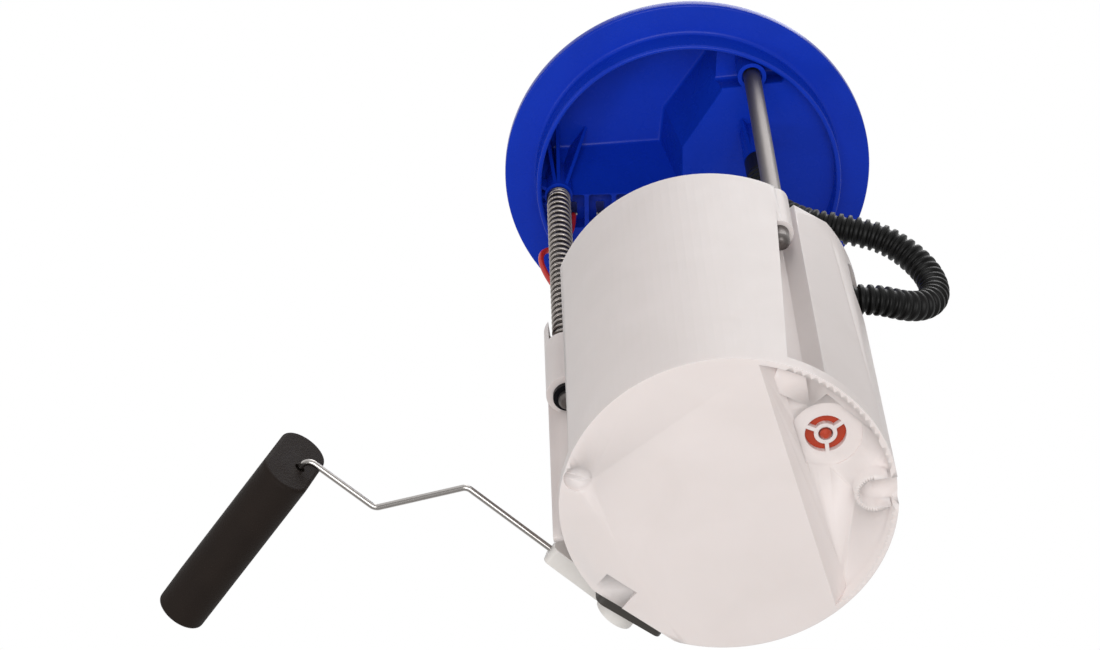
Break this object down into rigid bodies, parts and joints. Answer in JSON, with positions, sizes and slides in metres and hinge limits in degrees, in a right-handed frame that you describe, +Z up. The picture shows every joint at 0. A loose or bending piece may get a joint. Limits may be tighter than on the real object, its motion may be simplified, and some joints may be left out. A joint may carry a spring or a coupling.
{
  "type": "fuel pump module",
  "caption": "In-tank fuel pump module: round flange on two guide rods over a sliding sprung reservoir with pump, corrugated hose and float level arm.",
  "frame": {"origin": "centre of the plug skirt at the underside of the flange rim, the face that seats on the tank", "axes": "+Z up along the guide rods out of the tank, +X from the spring rod side across to the hose side, +Y away from the plain rod side"},
  "size_m": [0.2623, 0.13, 0.248],
  "materials": {
    "flange_plastic": "moulded acetal, satin gloss, saturated blue",
    "reservoir_plastic": "moulded acetal, warm translucent white",
    "rod_steel": "ground steel rod",
    "spring_steel": "bright drawn spring wire",
    "ring_black": "dark push-on ring",
    "terminal_tin": "tin-plated blade",
    "hose_nylon": "black corrugated nylon tube",
    "lead_insulation": "red insulated lead",
    "cover_plastic": "moulded acetal, white",
    "isolator_rubber": "black rubber",
    "can_steel": "zinc-plated drawn steel can",
    "pump_plastic": "black glass-filled plastic",
    "brush_carbon": "carbon",
    "bearing_bronze": "sintered bronze",
    "magnet_ferrite": "ferrite",
    "armature_steel": "laminated steel",
    "commutator_copper": "copper",
    "strainer_mesh": "woven nylon mesh",
    "valve_rubber": "orange-red fluoro rubber",
    "card_ceramic": "ceramic card with printed tracks",
    "arm_steel": "bright steel wire",
    "wiper_alloy": "spring contact alloy",
    "float_foam": "closed-cell foam, dark brown-black"
  },
  "bodies": {
    "flange": {"flange": "flange_plastic", "connector_terminals": "terminal_tin", "guide_rod_spring_side": "rod_steel", "guide_rod_plain": "rod_steel", "rod_retaining_ring": "ring_black", "return_spring": "spring_steel", "fuel_hose": "hose_nylon", "pump_lead_live": "lead_insulation", "pump_lead_return": "lead_insulation"},
    "reservoir": {"reservoir": "reservoir_plastic", "reservoir_cover": "cover_plastic", "pump_isolator": "isolator_rubber", "pump_can": "can_steel", "pump_inlet_cover": "pump_plastic", "pump_port_plate": "pump_plastic", "pump_outlet_cover": "pump_plastic", "pump_terminals": "terminal_tin", "pump_brushes": "brush_carbon", "pump_bearings": "bearing_bronze", "pump_magnets": "magnet_ferrite", "intake_strainer": "strainer_mesh", "umbrella_valve": "valve_rubber", "jet_nozzle": "pump_plastic", "outlet_elbow": "pump_plastic", "level_sender_body": "reservoir_plastic", "resistor_card": "card_ceramic"},
    "pump_rotor": {"rotor_shaft": "rod_steel", "rotor_armature": "armature_steel", "rotor_commutator": "commutator_copper", "pump_impeller": "pump_plastic"},
    "float_arm": {"arm_holder": "reservoir_plastic", "float_arm_wire": "arm_steel", "wiper_contacts": "wiper_alloy"},
    "float": {"level_float": "float_foam"}
  },
  "joints": [
    {"name": "reservoir_slide", "type": "slide", "parent": "flange", "child": "reservoir", "axis": [0, 0, 1], "range_m": [0, 0.04], "stiffness_N_per_m": 600, "springref_m": -0.02, "deforming": ["return_spring", "fuel_hose", "pump_lead_live", "pump_lead_return"]},
    {"name": "pump_rotor_spin", "type": "hinge", "parent": "reservoir", "child": "pump_rotor", "pos_m": [0, 0, -0.172], "axis": [0, 0, 1], "continuous": true},
    {"name": "float_arm_pivot", "type": "hinge", "parent": "reservoir", "child": "float_arm", "pos_m": [-0.03741, 0.04305, -0.205], "axis": [-0.682, 0.7314, 0], "range_deg": [-15, 45]},
    {"name": "float_spin", "type": "hinge", "parent": "float_arm", "child": "float", "pos_m": [-0.14699, 0.01334, -0.1769], "axis": [-0.682, 0.7314, 0], "continuous": true}
  ]
}
